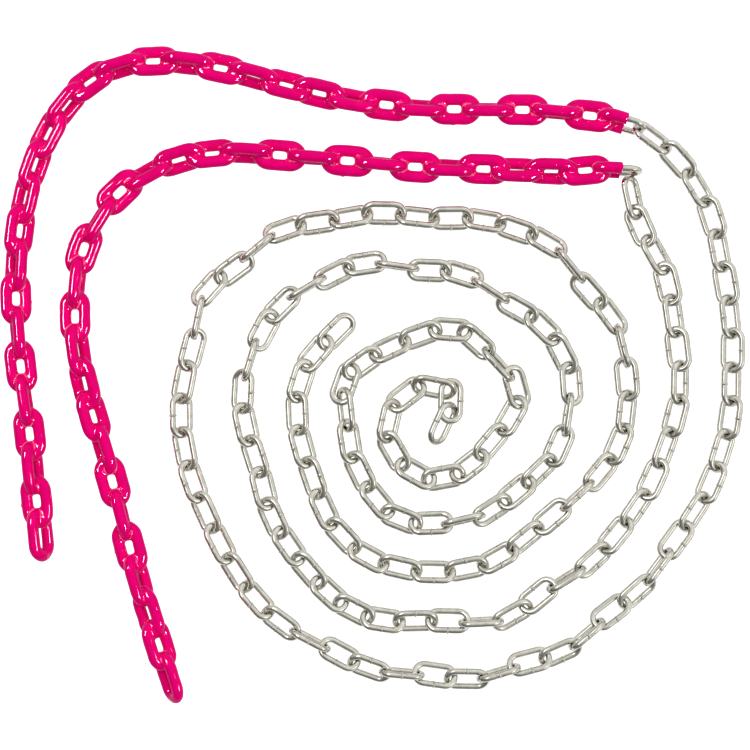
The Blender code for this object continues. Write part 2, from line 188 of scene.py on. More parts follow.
def laid(middles_mm, leans, corners):
    """Middle of every link, and its directions along, across and square to both as columns."""
    flat = np.array(middles_mm) * MM
    joints = (flat[:-1] + flat[1:]) / 2
    joints[1:-1] += (flat[1:-2] + flat[2:-1] - flat[:-3] - flat[3:]) / 8
    before = np.vstack([2 * flat[0] - joints[0], joints])
    after = np.vstack([joints, 2 * flat[-1] - joints[-1]])
    for link in corners:
        after[link - 1] = 2 * flat[link - 1] - before[link - 1]
        before[link] = 2 * flat[link] - after[link]
    heading = after - before
    heading /= np.linalg.norm(heading, axis=1)[:, None]
    left = np.stack([-heading[:, 1], heading[:, 0]], axis=1)
    between = (before + after) / 2
    centre = between + left * np.sum((flat - between) * left, axis=1)[:, None]
    middles = np.column_stack([centre, heights_of(leans)])
    nothing = np.zeros(len(flat))
    along = np.column_stack([heading, nothing])
    lean = np.radians(leans)[:, None]
    across = np.column_stack([left, nothing]) * np.cos(lean) + UP * np.sin(lean)
    return middles, np.stack([along, across, np.cross(along, across)], axis=2)


lay = {
    "outer": (OUTER_MIDDLES, OUTER_LEANS, OUTER_CORNERS),
    "inner": (INNER_MIDDLES, INNER_LEANS, INNER_CORNERS),
}
for side, lists in lay.items():
    steps = np.linalg.norm(np.diff(laid(*lists)[0], axis=0), axis=1) / MM
    print(side, "chain as laid: spacing %.1f to %.1f mm" % (steps.min(), steps.max()))

# %% [markdown]
# A link is a round wire bent to a flat oval: two straight rods and two half circles, the bows. A circle
# that is stretched would not do, for it has no straight rods. So the oval is written as a walk that
# starts at the weld, in the middle of one rod: at each distance along the wire it says how far the wire
# has turned and how far it has run straight. The same walk gives the wire axis, for the joints, and the
# rings of the mesh further on.

# %% Walk round one link
AXIS_POINTS = 64            # points on the wire axis of a link


def oval_at(s, weld_side):
    """Point and outward direction on the oval, in the link's own plane, at distance s from the weld."""
    first = s - HALF_STRAIGHT
    second = first - BOW - STRAIGHT
    angle = np.clip(first / BOW_RADIUS, 0, math.pi) + np.clip(second / BOW_RADIUS, 0, math.pi)
    run = (np.clip(s, 0, HALF_STRAIGHT) - np.clip(first - BOW, 0, STRAIGHT)
           + np.clip(second - BOW, 0, HALF_STRAIGHT))
    out = np.stack([np.sin(angle), weld_side * np.cos(angle), 0 * s], axis=1)
    points = out * BOW_RADIUS
    points[:, 0] += run
    return points, out


AXIS = oval_at(np.arange(AXIS_POINTS) / AXIS_POINTS * WIRE_LENGTH, 1)[0]
FRONT_HALF = AXIS[AXIS[:, 0] > 0]
BACK_HALF = AXIS[AXIS[:, 0] < 0]
print("wire axis of a link: %.1f by %.1f mm" % tuple(np.ptp(AXIS, axis=0)[:2] / MM))

# %% [markdown]
# Links that are laid as listed cut into each other a little, and the joints then look like lumps. Real
# links push each other aside. A physics run would do it too, but it is slow for two hundred links and hard
# to repeat exactly. Here is a small stand-in. It has three tools: one finds the nearest points of two
# neighbours' wires, one says how readily a link moves and turns when it is pushed at a point, and one
# turns it.

# %% Tools for pushing links
SPREAD = np.eye(3) * np.mean(np.sum(AXIS ** 2, axis=1)) - AXIS.T @ AXIS / AXIS_POINTS
EASE_OF_TURNING = np.linalg.inv(SPREAD)


def put(points, middles, turns):
    """The points of a link at the place of every given link."""
    return middles[:, None, :] + np.einsum("nij,mj->nmi", turns, points)


def turned(turns, spin):
    """The directions turned about the axis of the spin, by its length in radians."""
    angle = np.linalg.norm(spin, axis=1)[:, None, None]
    x, y, z = (spin / np.maximum(angle[:, 0], 1e-12)).T
    none = 0 * x
    cross = np.array([[none, -z, y], [z, none, -x], [-y, x, none]]).transpose(2, 0, 1)
    return (np.eye(3) + np.sin(angle) * cross + (1 - np.cos(angle)) * cross @ cross) @ turns


def giving(middles, turns, points, push):
    """How far links give way to a push at a point, and the spin that they take from it."""
    twist = np.cross(points - middles, push)
    spin = np.einsum("nij,nj->ni", turns @ EASE_OF_TURNING @ turns.transpose(0, 2, 1), twist)
    return 1 + np.sum(twist * spin, axis=1), spin


def nearest(middles, turns, a, b):
    """The nearest points of the wire axes of neighbours, and their distance."""
    front = put(FRONT_HALF, middles[a], turns[a])
    back = put(BACK_HALF, middles[b], turns[b])
    apart = np.linalg.norm(front[:, :, None] - back[:, None], axis=3).reshape(len(a), -1)
    best = apart.argmin(axis=1)
    row = np.arange(len(a))
    return front[row, best // len(BACK_HALF)], back[row, best % len(BACK_HALF)], apart[row, best]


print("a link turns %.1f times as readily about its length as across it"
      % (EASE_OF_TURNING[0, 0] / EASE_OF_TURNING[1, 1]))

# %% [markdown]
# In each pass of the settling, neighbours that are too close are moved and turned apart, just as free
# bodies would be. Then links that reach below the floor are lifted. Bare links also sink a little, and
# all are drawn gently back to where they were laid, so that the heap keeps its lay. The last passes only
# push apart.

# %% Let the links settle
SETTLING_PASSES = 150
LAST_PASSES = 25            # passes at the end in which links are only pushed apart
CLEAR = WIRE + 0.03 * MM    # distance that the wire axes of two neighbours are pushed to
LARGEST_PUSH = 0.4 * MM
PULL_BACK = 0.03            # share of the way back to the laid place, and the laid angle, in each pass
SINK = 0.03 * MM            # fall of a bare link in each pass


def settled(middles, turns):
    """Where the links come to lie, each clear of the next one and of the floor."""
    laid_middles, laid_turns = middles.copy(), turns.copy()
    count = len(middles)
    bare = np.arange(count) > DIPPED
    rod = np.where(bare, WIRE / 2, WIRE / 2 + COAT)
    for number in range(SETTLING_PASSES):
        for first in (0, 1):
            a = np.arange(first, count - 1, 2)
            b = a + 1
            point_a, point_b, apart = nearest(middles, turns, a, b)
            push = (point_b - point_a) / apart[:, None]
            give_a, spin_a = giving(middles[a], turns[a], point_a, push)
            give_b, spin_b = giving(middles[b], turns[b], point_b, push)
            size = (np.clip(CLEAR - apart, 0, LARGEST_PUSH) / (give_a + give_b))[:, None]
            middles[a] -= size * push
            middles[b] += size * push
            turns[a] = turned(turns[a], -size * spin_a)
            turns[b] = turned(turns[b], size * spin_b)
        wires = put(AXIS, middles, turns)
        low = wires[np.arange(count), wires[:, :, 2].argmin(axis=1)]
        give, spin = giving(middles, turns, low, UP)
        size = (np.clip(rod - low[:, 2], 0, None) / give)[:, None]
        middles = middles + size * UP
        turns = turned(turns, size * spin)
        if number < SETTLING_PASSES - LAST_PASSES:
            middles[:, :2] += PULL_BACK * (laid_middles - middles)[:, :2]
            middles[bare, 2] -= SINK
            off = turns @ laid_turns.transpose(0, 2, 1)
            spin = np.stack([off[:, 2, 1] - off[:, 1, 2], off[:, 0, 2] - off[:, 2, 0],
                             off[:, 1, 0] - off[:, 0, 1]], axis=1) / 2
            turns = turned(turns, -PULL_BACK * spin)
    return middles, turns


# %% [markdown]
# Both chains are laid and settled in the same way, and moved so that the heap is centred as the packed
# model is. What is kept of each link is its wire axis and one matrix, which is how Blender itself stores
# a place.

# %% Lay both chains
axes, places = {}, {}
for side, lists in lay.items():
    first_middles, first_turns = laid(*lists)
    middles, turns = settled(first_middles.copy(), first_turns.copy())
    moved = np.linalg.norm(middles - first_middles, axis=1) / MM
    middles = middles - CENTRE
    axes[side] = put(AXIS, middles, turns)
    places[side] = []
    for middle, turn in zip(middles, turns):
        matrix = Matrix(turn.tolist()).to_4x4()
        matrix.translation = middle.tolist()
        places[side].append(matrix)
    step = np.linalg.norm(np.diff(middles, axis=0), axis=1) / MM
    print(side, "chain: links", len(middles), "spacing %.1f to %.1f mm" % (step.min(), step.max()),
          "moved %.2f mm on average" % moved.mean())

# %% [markdown]
# Now the mesh of one link. A round profile on a bevelled curve would do for the wire, but it could not
# carry the weld, so the mesh is swept by hand: a ring of points is carried round the oval. Rings are
# close together at the weld, where the shape changes fast, and in the bows, and far apart on the rods.

# %% Where the rings stand
BOW_RINGS = 14
PLAIN_RINGS = 4             # steps along the rod that has no weld
WELD_RINGS = np.array([0, 0.2, 0.4, 0.6, 0.85, 1.2, 1.8, 2.8, 4.4]) * MM   # from the weld, each way


def stations():
    """Distances round the oval, from the weld, at which a ring of points stands."""
    first_bow = HALF_STRAIGHT + np.arange(BOW_RINGS + 1) / BOW_RINGS * BOW
    plain = HALF_STRAIGHT + BOW + (1 + np.arange(PLAIN_RINGS - 1)) / PLAIN_RINGS * STRAIGHT
    second_bow = first_bow + BOW + STRAIGHT
    other_way = WIRE_LENGTH - WELD_RINGS[:0:-1]
    return np.concatenate([WELD_RINGS, first_bow, plain, second_bow, other_way])


print("rings in one link:", len(stations()))

# %% [markdown]
# A link of this chain is welded shut half way along one rod. The weld leaves a flash, which is a low
# collar of metal that was squeezed out, higher on one side, and the clamps have pinched the wire beside
# it. Relief as small as this could be left to a bump map, but the flash shows in the outline of the rod,
# so it is in the mesh.

# %% The weld
FLASH_HALF = 0.42 * MM      # half the length of the flash along the wire
FLASH_HEIGHT = (0.32, 0.44)   # least and most, in millimetres
FIN_HEIGHT = (0.15, 0.3)    # what the high side has on top of that, in millimetres
RIPPLE_HEIGHT = 0.06        # in millimetres
PINCH = 0.1 * MM            # how deep the clamps press the wire beside the weld
PINCH_FROM_WELD = 1.9 * MM
PINCH_HALF = 0.9 * MM       # half the length of the pinched place
ANY_ANGLE = 6.3             # upper end for an angle drawn at random: a full turn in radians


def welded(radius, from_weld, around, seed, pick):
    """The radius of the wire with the flash of the weld added and the clamps' pinch taken off."""
    fins = np.abs(np.cos(around / 2 + pick.uniform(0, ANY_ANGLE))) ** 3
    height = pick.uniform(*FLASH_HEIGHT) + pick.uniform(*FIN_HEIGHT) * fins
    height += RIPPLE_HEIGHT * np.sin(5 * around + seed)
    radius = radius + height * MM * np.exp(-(from_weld / FLASH_HALF) ** 4)
    pinch = PINCH * np.exp(-((from_weld - PINCH_FROM_WELD) / PINCH_HALF) ** 2)
    return radius - pinch * (1 + np.sin(2 * around + seed)) / 2


print("weld flash: up to %.2f mm above the wire" % (FLASH_HEIGHT[1] + FIN_HEIGHT[1] + RIPPLE_HEIGHT))

# %% [markdown]
# Dipped rods are never quite even. A few sine waves in random directions, added up, make an unevenness
# that is soft, has one size, and is the same in each run, because the seed of the draws is given.

# %% Soft unevenness
WAVES = 6
SWELL_SIZE = 11 * MM        # size of the soft unevenness of a dipped rod
WAVE_SPREAD = (0.7, 1.4)    # how much shorter and longer than the given size the waves are


def smooth_waves(points, seed, size):
    """A soft, repeatable unevenness of roughly the given size, mostly between -1 and 1."""
    pick = np.random.RandomState(seed)
    total = np.zeros(len(points))
    for _ in range(WAVES):
        direction = pick.normal(size=points.shape[1])
        direction /= np.linalg.norm(direction)
        wave = 2 * math.pi / (size * pick.uniform(*WAVE_SPREAD))
        total += np.sin(points @ direction * wave + pick.uniform(0, ANY_ANGLE))
    return total / math.sqrt(WAVES)


sample = smooth_waves(AXIS, 1, SWELL_SIZE)
print("unevenness along one link: from %.2f to %.2f" % (sample.min(), sample.max()))

# %% [markdown]
# Two more helpers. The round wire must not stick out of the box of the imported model, so the little that
# would is pressed flat against the side of the box. And each point is told how near the next link's wire
# is, for dirt stays where two links meet.

# %% Stay inside the box, and measure the gap to the neighbours
FLOOR_CLEAR = 0.02 * MM     # how far inside the box the points stay
NO_NEIGHBOUR = 9 * MM       # the gap of points that are farther from a neighbour than this


def kept_inside(points):
    """The points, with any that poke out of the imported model's box or into the floor pressed flat."""
    low = np.array(cad_box[0]) + FLOOR_CLEAR
    high = np.array(cad_box[1]) - FLOOR_CLEAR
    return np.clip(points, low, high)


def gap_to_neighbours(points, side, k, rod_radius):
    """Distance of each point of link k to the axis of a neighbour's wire, less the radius of the rod."""
    gap = np.full(len(points), NO_NEIGHBOUR)
    for other in (k - 1, k + 1):
        if 0 <= other < LINKS:
            away = np.linalg.norm(points[:, None] - axes[side][other][None], axis=2).min(axis=1)
            gap = np.minimum(gap, away - rod_radius)
    return gap


print("the bows of link 50 come within %.2f mm of its neighbours"
      % (gap_to_neighbours(axes["outer"][49], "outer", 49, WIRE).min() / MM))

# %% [markdown]
# With these, one function sweeps a link of either kind: a bare one with its weld, or a fat one to be
# dipped, uneven and with a pool of melt at the tips. Each point keeps where it is on the wire, how far it
# is from the weld, and how near the next wire is. With these values a material can run its grain along
# the bend, and put its dirt where steel rubs on steel. A texture map would show a seam all along the
# wire. Here the only seam is at the weld, where it is not seen.

# %% Sweep one link
FIRST_SEED = {"outer": 7000, "inner": 7500}
WIRE_SIDES = 20             # points in a ring of bare wire
GRAIN_SHIFT = 50            # millimetres by which the grain of each link may be shifted


def quads_of(rings, sides, weld_side):
    """The four-sided faces between the rings, turned to face outwards."""
    index = np.arange(rings * sides).reshape(rings, sides)
    following = np.roll(index, -1, axis=0)
    quads = np.stack([index, following, np.roll(following, -1, axis=1), np.roll(index, -1, axis=1)],
                     axis=2).reshape(-1, 4)
    return quads[:, ::-1] if weld_side > 0 else quads


def sweep_link(side, k, rod_radius, weld_side=1, weld=True, sides=WIRE_SIDES, swell=0.0, pool=0.0,
               inside=True):
    """Points, faces, wire coordinates, weld distance and closeness to the neighbours of one link."""
    s = stations()
    centre, out = oval_at(s, weld_side)
    rings = len(s)
    grid_s = np.repeat(s, sides)
    around = np.tile(np.arange(sides) / sides * 2 * math.pi, rings)
    from_weld = np.minimum(grid_s, WIRE_LENGTH - grid_s)
    radius = np.full(rings * sides, rod_radius)
    seed = FIRST_SEED[side] + k
    pick = np.random.RandomState(seed)
    if weld:
        radius = welded(radius, from_weld, around, seed, pick)
    spoke = np.repeat(out, sides, axis=0) * np.cos(around)[:, None] + UP * np.sin(around)[:, None]
    points = np.repeat(centre, sides, axis=0) + spoke * radius[:, None]
    if swell:
        points += spoke * (swell * smooth_waves(points, seed, SWELL_SIZE))[:, None]
    if pool:
        facing_out = np.clip(spoke[:, 0] * np.sign(points[:, 0]), 0, 1)
        points[:, 0] += pool * facing_out ** 2 * np.sign(points[:, 0])
    matrix = np.array(places[side][k])
    points = points @ matrix[:3, :3].T + matrix[:3, 3]
    if inside:
        points = kept_inside(points)
    gap = gap_to_neighbours(points, side, k, rod_radius)
    start = pick.uniform(0, GRAIN_SHIFT, 3) * MM
    place = np.stack([grid_s, rod_radius * np.cos(around), rod_radius * np.sin(around)], axis=1) + start
    return points, quads_of(rings, sides, weld_side), place / MM, from_weld / MM, gap / MM


print("faces in one bare link:", len(quads_of(len(stations()), WIRE_SIDES, 1)))

# %% [markdown]
# A mesh can be built face by face with bmesh, which is easy to read but slow. For two hundred links the
# arrays are handed over whole, and the values of the points go with them as named attributes.

# %% One mesh from several links
def mesh_from(name, parts):
    """One mesh object from several swept links. Its point attributes are in millimetres."""
    sizes = [len(part[0]) for part in parts]
    starts = np.concatenate([[0], np.cumsum(sizes)[:-1]])
    points, place, weld, gap = (np.concatenate([part[n] for part in parts]) for n in (0, 2, 3, 4))
    quads = np.concatenate([part[1] + start for part, start in zip(parts, starts)])
    mesh = bpy.data.meshes.new(name)
    mesh.vertices.add(len(points))
    mesh.vertices.foreach_set("co", points.ravel())
    mesh.loops.add(quads.size)
    mesh.loops.foreach_set("vertex_index", quads.ravel())
    mesh.polygons.add(len(quads))
    mesh.polygons.foreach_set("loop_start", np.arange(0, quads.size, 4))
    mesh.update(calc_edges=True)
    mesh.attributes.new("wire_place", "FLOAT_VECTOR", "POINT").data.foreach_set("vector", place.ravel())
    mesh.attributes.new("from_weld", "FLOAT", "POINT").data.foreach_set("value", weld)
    mesh.attributes.new("next_wire", "FLOAT", "POINT").data.foreach_set("value", gap)
    mesh.shade_smooth()
    obj = bpy.data.objects.new(name, mesh)
    bpy.context.scene.collection.objects.link(obj)
    return obj


# %% [markdown]
# The welds are made by machine, so on a stretch of chain they all face the same way. Where the weld shows
# is read off the real chain: on the higher or the lower rod, or on the left or the right one.

# %% Which rod carries the weld
WELD_STRETCHES = {
    "outer": [(32, 46, "high"), (47, 47, "low"), (48, 49, "high"), (50, 50, "low"), (51, 58, "high"),
              (59, 72, "left"), (73, 83, "right"), (84, 105, "high")],
    "inner": [(32, 48, "low"), (49, 62, "high"), (63, 80, "low"), (81, 105, "high")],
}


def weld_side_of(side, link):
    """+1 where the weld is on the outer rod, -1 where it is on the inner one. Links count from 1."""
    high = 1 if lay[side][1][link - 1] > 0 else -1
    for first, last, where in WELD_STRETCHES[side]:
        if first <= link <= last:
            return {"high": high, "low": -high, "left": 1, "right": -1}[where]
    return high


print("inner chain: weld of link 50 on side", weld_side_of("inner", 50))

# %% [markdown]
# The bare runs are made node by node: the links of a run are swept, joined as one mesh and put in place
# of the five-sided solid. The links stay separate bodies inside the mesh, as real links do.

# %% Make the bare runs
BARE_RUN = 4                # links in a bare node


def bare_nodes(side):
    """Node name and link numbers, from 1, of every bare node of a chain."""
    nodes = [(side + "_half_dipped_link", [DIPPED + 1])]
    start, number = DIPPED + 2, 1
    while start < LINKS:
        stop = start + BARE_RUN
        if LINKS - stop < BARE_RUN:
            stop = LINKS
        nodes.append(("%s_bare_%02d" % (side, number), list(range(start, stop))))
        start, number = stop, number + 1
    nodes.append((side + "_bare_eye", [LINKS]))
    return nodes


bare_pieces = []
for side in places:
    for node, links in bare_nodes(side):
        swept = [sweep_link(side, k - 1, WIRE / 2, weld_side_of(side, k)) for k in links]
        piece = mesh_from(node + "_wire", swept)
        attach(piece, "root")
        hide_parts(node)
        bare_pieces.append(piece)
print("bare pieces:", len(bare_pieces), "faces in the first run:", len(bare_pieces[1].data.polygons))

# %% [markdown]
# The vinyl is one skin a chain: the chain is hung in the tank, and the melt runs together wherever two
# links meet. Separate fat links would show a hard line there. So the links are swept as fat rods, turned
# into one skin by a voxel remesh and eased by a few rounds of smoothing. The rods are made too fat at
# first, and the finished skin is pulled in by the same amount: this leaves the rods as they should be,
# and a web in each corner. Metaballs would run together too, but they bulge at the joints and are hard to
# fit to a size.

# %% Fat links for the dip
EASING_LOSS = 0.08 * MM     # what the smoothing takes off a rod, added beforehand
WEB = 0.9 * MM              # radius of the web of vinyl in a corner
COAT_UNEVEN = 0.1 * MM
COAT_POOL = 0.8 * MM        # extra vinyl at the tips of the bows, where the melt runs to
FAT_SIDES = 28              # points in a ring of a fat link


def fat_links(side):
    """The dipped links of a chain, and the half-dipped one, as one mesh of fat rods."""
    rod = WIRE / 2 + COAT + EASING_LOSS + WEB
    fat = [
        sweep_link(side, k, rod, weld=False, sides=FAT_SIDES, swell=COAT_UNEVEN, pool=COAT_POOL, inside=False)
        for k in range(DIPPED + 1)
    ]
    return mesh_from(side + "_vinyl", fat)


print("fat rods: %.1f mm thick" % (2 * (WIRE / 2 + COAT + EASING_LOSS + WEB) / MM))

# %% [markdown]
# The melt also drips while it sets. A large drop is left on the end bow of each hand eye, the lowest
# place when the chain hangs out of the tank, and every third link keeps a small one on its lower rod. A
# drop is a ball with one half drawn out. It could be a piece of its own, but joined to the fat links
# before the remesh it melts into the skin without a seam.

# %% One drop
def drip(centre, direction, radius, length):
    """A small drop drawn out along a direction."""
    work = bmesh.new()
    bmesh.ops.create_uvsphere(work, u_segments=24, v_segments=16, radius=radius)
    turn = direction.to_track_quat("Z", "Y").to_matrix()
    for vertex in work.verts:
        if vertex.co.z > 0:
            vertex.co.z *= length / radius
        vertex.co = centre + turn @ vertex.co
    mesh = bpy.data.meshes.new("drip")
    work.to_mesh(mesh)
    work.free()
    drop = bpy.data.objects.new("drip", mesh)
    bpy.context.scene.collection.objects.link(drop)
    return drop


# %% The drops of a chain
NUB_TURN = {"outer": -33, "inner": 30}   # where the large drop sits on the end bow, in degrees from its tip
NUB_RADIUS = 1.3 * MM
NUB_LENGTH = 3.0 * MM
NUB_SUNK = 1.4 * MM         # how far its middle lies below the edge of the skin
DRIP_EVERY = 3
DRIP_SEED = {"outer": 31, "inner": 57}
DRIP_RADIUS = 1.0 * MM
DRIP_LENGTH = (1.1, 1.6)    # shortest and longest, in millimetres
DRIP_SUNK = 0.5 * MM
DRIP_REACH = 0.6            # share of the half rod that a drip may be away from its middle
OUTER_EDGE = BOW_RADIUS + WIRE / 2 + COAT   # from the middle of a link or bow to the edge of the skin
nubs = {}                   # where the large drop of each chain is


def drops_of(side):
    """The large drop on the hand eye of a chain, and the small drips on its rods."""
    eye = places[side][0]
    backwards = -eye.col[0].to_3d()
    turn = math.radians(NUB_TURN[side])
    outwards = backwards * math.cos(turn) + eye.col[1].to_3d() * math.sin(turn)
    bow = eye.translation + backwards * HALF_STRAIGHT
    nub = bow + outwards * (OUTER_EDGE - NUB_SUNK)
    nubs[side] = np.array(bow + outwards * (BOW_RADIUS + WIRE / 2) + Vector(UP) * (WIRE / 2 + COAT / 2))
    drops = [drip(nub, outwards, NUB_RADIUS + WEB, NUB_LENGTH + WEB)]
    pick = np.random.RandomState(DRIP_SEED[side])
    for k in range(1, DIPPED, DRIP_EVERY):
        along, across, _ = (column.to_3d() for column in places[side][k].col[:3])
        down = across * (-1 if across.z > 0 else 1)
        start = places[side][k].translation + along * pick.uniform(-DRIP_REACH, DRIP_REACH) * HALF_STRAIGHT
        edge = start + down * (OUTER_EDGE - DRIP_SUNK)
        drops.append(drip(edge, down, DRIP_RADIUS + WEB, pick.uniform(*DRIP_LENGTH) * MM + WEB))
    return drops


print("small drips on each chain:", len(range(1, DIPPED, DRIP_EVERY)))

# %% [markdown]
# The vinyl ends in a clean square cut in the middle of link 31. A boolean would cut it too, but it is
# slow on a mesh of this size. A bisect goes through the few faces near the cut and leaves the rest as it
# is.

# %% Cut the vinyl square
SLEEVE_PAST_MIDDLE = 2.0 * MM   # how far the vinyl reaches past the middle of the half-dipped link


def square_cut(obj, matrix):
    """Cuts the skin square across the half-dipped link and closes the cut."""
    work = bmesh.new()
    work.from_mesh(obj.data)
    along = matrix.col[0].to_3d()
    point = matrix.translation + along * SLEEVE_PAST_MIDDLE
    near = [v for v in work.verts if (v.co - matrix.translation).length < INSIDE_LENGTH
            and (v.co - matrix.translation).dot(along) > -HALF_STRAIGHT]
    faces = {f for v in near for f in v.link_faces}
    edges = {e for f in faces for e in f.edges}
    cut = bmesh.ops.bisect_plane(work, geom=near + list(edges) + list(faces), dist=1e-7,
                                 plane_co=point, plane_no=along, clear_outer=True)
    rim = [e for e in cut["geom_cut"] if isinstance(e, bmesh.types.BMEdge)]
    bmesh.ops.holes_fill(work, edges=[e for e in rim if e.is_boundary], sides=0)
    work.to_mesh(obj.data)
    work.free()


# %% [markdown]
# Now the dip itself. The modifiers are the three steps in order: the remesh makes one skin, the smoothing
# eases it, and the displacement pulls it in by the web. They are applied by reading back the finished
# mesh.

# %% Read back a mesh
def evaluated(obj):
    """Applies the modifiers of an object to its mesh."""
    graph = bpy.context.evaluated_depsgraph_get()
    graph.update()
    mesh = bpy.data.meshes.new_from_object(obj.evaluated_get(graph))
    obj.modifiers.clear()
    old = obj.data
    obj.data = mesh
    bpy.data.meshes.remove(old)


def points_of(mesh):
    """The points of a mesh as rows of an array."""
    points = np.empty(len(mesh.vertices) * 3)
    mesh.vertices.foreach_get("co", points)
    return points.reshape(-1, 3)


# %% Dip the hand ends
VOXEL = 0.45 * MM
EASING = 10                 # rounds of smoothing after the remesh


def vinyl_skin(side):
    """One closed skin of vinyl over the dipped links of a chain."""
    skin = fat_links(side)
    drops = drops_of(side)
    with bpy.context.temp_override(active_object=skin, selected_editable_objects=[skin] + drops):
        bpy.ops.object.join()
    remesh = skin.modifiers.new("one_skin", "REMESH")
    remesh.mode = "VOXEL"
    remesh.voxel_size = VOXEL
    ease = skin.modifiers.new("ease", "SMOOTH")
    ease.factor = 0.5
    ease.iterations = EASING
    pull = skin.modifiers.new("pull_in", "DISPLACE")
    pull.mid_level = 0.0
    pull.strength = -WEB
    evaluated(skin)
    skin.data.vertices.foreach_set("co", kept_inside(points_of(skin.data)).ravel())
    square_cut(skin, places[side][DIPPED])
    return skin


skins = {}
for side in places:
    skins[side] = vinyl_skin(side)
    print(side, "skin:", len(skins[side].data.polygons), "faces before thinning")

# %% [markdown]
# The remesh makes far more faces than the skin needs, so a Decimate modifier thins it. What it leaves are
# triangles of very uneven size, and they make a ragged edge on a sharp highlight. A few more rounds of
# smoothing even them out. The remesh can also leave loose crumbs, and only the largest body is kept.

# %% Thin the skins
SKIN_FACES = 190000         # triangles that are left in each skin
EVENING = 4                 # rounds of smoothing after the thinning


def keep_largest(obj):
    """Deletes the loose crumbs that a remesh can leave, and says how many there were."""
    work = bmesh.new()
    work.from_mesh(obj.data)
    unseen, bits = set(work.verts), []
    while unseen:
        bit, waiting = [], [unseen.pop()]
        while waiting:
            vertex = waiting.pop()
            bit.append(vertex)
            for edge in vertex.link_edges:
                other = edge.other_vert(vertex)
                if other in unseen:
                    unseen.remove(other)
                    waiting.append(other)
        bits.append(bit)
    bits.sort(key=len)
    bmesh.ops.delete(work, geom=[vertex for bit in bits[:-1] for vertex in bit], context="VERTS")
    work.to_mesh(obj.data)
    work.free()
    return len(bits) - 1


for side, skin in skins.items():
    triangles = sum(len(p.vertices) - 2 for p in skin.data.polygons)
    thin = skin.modifiers.new("thin", "DECIMATE")
    thin.ratio = min(1.0, SKIN_FACES / triangles)
    even = skin.modifiers.new("even_out", "SMOOTH")
    even.factor = 0.5
    even.iterations = EVENING
    evaluated(skin)
    crumbs = keep_largest(skin)
    skin.data.shade_smooth()
    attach(skin, "root")
    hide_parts(side + "_hand_eye", *["%s_dipped_%d" % (side, n) for n in range(1, 7)])
    print(side, "skin:", len(skin.data.polygons), "faces,", crumbs, "crumbs removed")

# %% [markdown]
# Vinyl is a little duller in the crease where two links meet, and there its colour is darkened with
# painted shade. A material could guess the creases from the curve of the surface, but here they are known:
# a point is in a crease where the second nearest wire is hardly farther than the nearest one. The remesh
# has lost the values kept on the points, so the distances are worked out again on the finished skin.

# %% Distances to the two nearest wires
def two_nearest(points, side):
    """For each point, distance, height and reach along the link of the nearest wire and of the second."""
    first = np.tile([1.0, 0.0, 0.0], (len(points), 1))
    second = first.copy()
    for k in range(DIPPED + 2):
        matrix = np.array(places[side][k])
        near = np.where(np.linalg.norm(points - matrix[:3, 3], axis=1) < INSIDE_LENGTH)[0]
        away = np.linalg.norm(points[near][:, None] - axes[side][k][None], axis=2)
        along = np.abs((points[near] - matrix[:3, 3]) @ matrix[:3, 0])
        found = np.column_stack([away.min(axis=1), axes[side][k][away.argmin(axis=1), 2], along])
        best = found[:, 0] < first[near, 0]
        next_best = ~best & (found[:, 0] < second[near, 0])
        second[near[best]] = first[near[best]]
        first[near[best]] = found[best]
        second[near[next_best]] = found[next_best]
    return first, second


# %% [markdown]
# The outer arc of a bow that lies on its neighbour also carries a painted highlight: a thin pale line in
# the colour, where a gleam would run along the edge, and the drop on the hand eye is painted pale as well.
# A value kept on the points says how pale a point is. It is spread to the neighbouring points a little, so
# that the line has no steps.

# %% Mark the creases and the painted highlight line
GLEAM_LINE_WIDTH = 1.3             # in millimetres
GLEAM_LINE_SOFT = 0.4 * MM         # softness of the ends and the lower edge of the line
GLEAM_LINE_SMOOTHING = 2           # rounds in which each point is mixed with its neighbours
NUB_PALE = 3.2 * MM         # how far the pale patch reaches from the drop
NUB_SHARE = 0.45            # its strength, next to the 1 of the line


def soft_step(values, width):
    """0 well below zero and 1 well above it. The clip keeps the power from growing too large."""
    return 1 / (1 + np.exp(-np.clip(values / width, -30, 30)))


def mark_creases(skin, side):
    """Keeps on the points of a skin the crease distance, in mm, and the strength of the painted pale
    highlight line.
    """
    mesh = skin.data
    points = points_of(mesh)
    first, second = two_nearest(points, side)
    crease = (second[:, 0] - first[:, 0]) / MM
    painted_gleam = (np.exp(-(crease / GLEAM_LINE_WIDTH) ** 2) * soft_step(first[:, 2] - INSIDE_LENGTH / 2, GLEAM_LINE_SOFT)
           * soft_step(first[:, 1] - second[:, 1], GLEAM_LINE_SOFT))
    ends = np.empty(len(mesh.edges) * 2, dtype=np.int32)
    mesh.edges.foreach_get("vertices", ends)
    ends = ends.reshape(-1, 2)
    touching = np.bincount(ends.ravel(), minlength=len(points))
    for _ in range(GLEAM_LINE_SMOOTHING):
        total = (np.bincount(ends[:, 0], painted_gleam[ends[:, 1]], len(points))
                 + np.bincount(ends[:, 1], painted_gleam[ends[:, 0]], len(points)))
        painted_gleam = (painted_gleam + total / touching) / 2
    from_nub = np.linalg.norm(points - nubs[side], axis=1)
    painted_gleam = np.maximum(painted_gleam, NUB_SHARE * np.exp(-(from_nub / NUB_PALE) ** 4))
    mesh.attributes.new("crease", "FLOAT", "POINT").data.foreach_set("value", crease)
    mesh.attributes.new("painted_gleam", "FLOAT", "POINT").data.foreach_set("value", painted_gleam)
    return crease, painted_gleam


for side, skin in skins.items():
    crease, painted_gleam = mark_creases(skin, side)
    print(side, "skin: share of points within 1 mm of a crease %.2f, on a lip %.3f"
          % ((crease < 1).mean(), (painted_gleam > 0.5).mean()))

# %% [markdown]
# There are two finishes, and both are made of the same few effects: a colour that drifts, a gloss that
# has been handled, and a fine grain in relief. Each effect is a node group, so that it is made once and
# each material only gives it other numbers. All of them take a place in millimetres. On the wire that
# place runs along the bend, so the grain follows the wire round the bow, as the drawing die left it.
# Nodes can be wired by hand in the editor, but a few short helpers make the same nodes and can be read
# like a sentence.

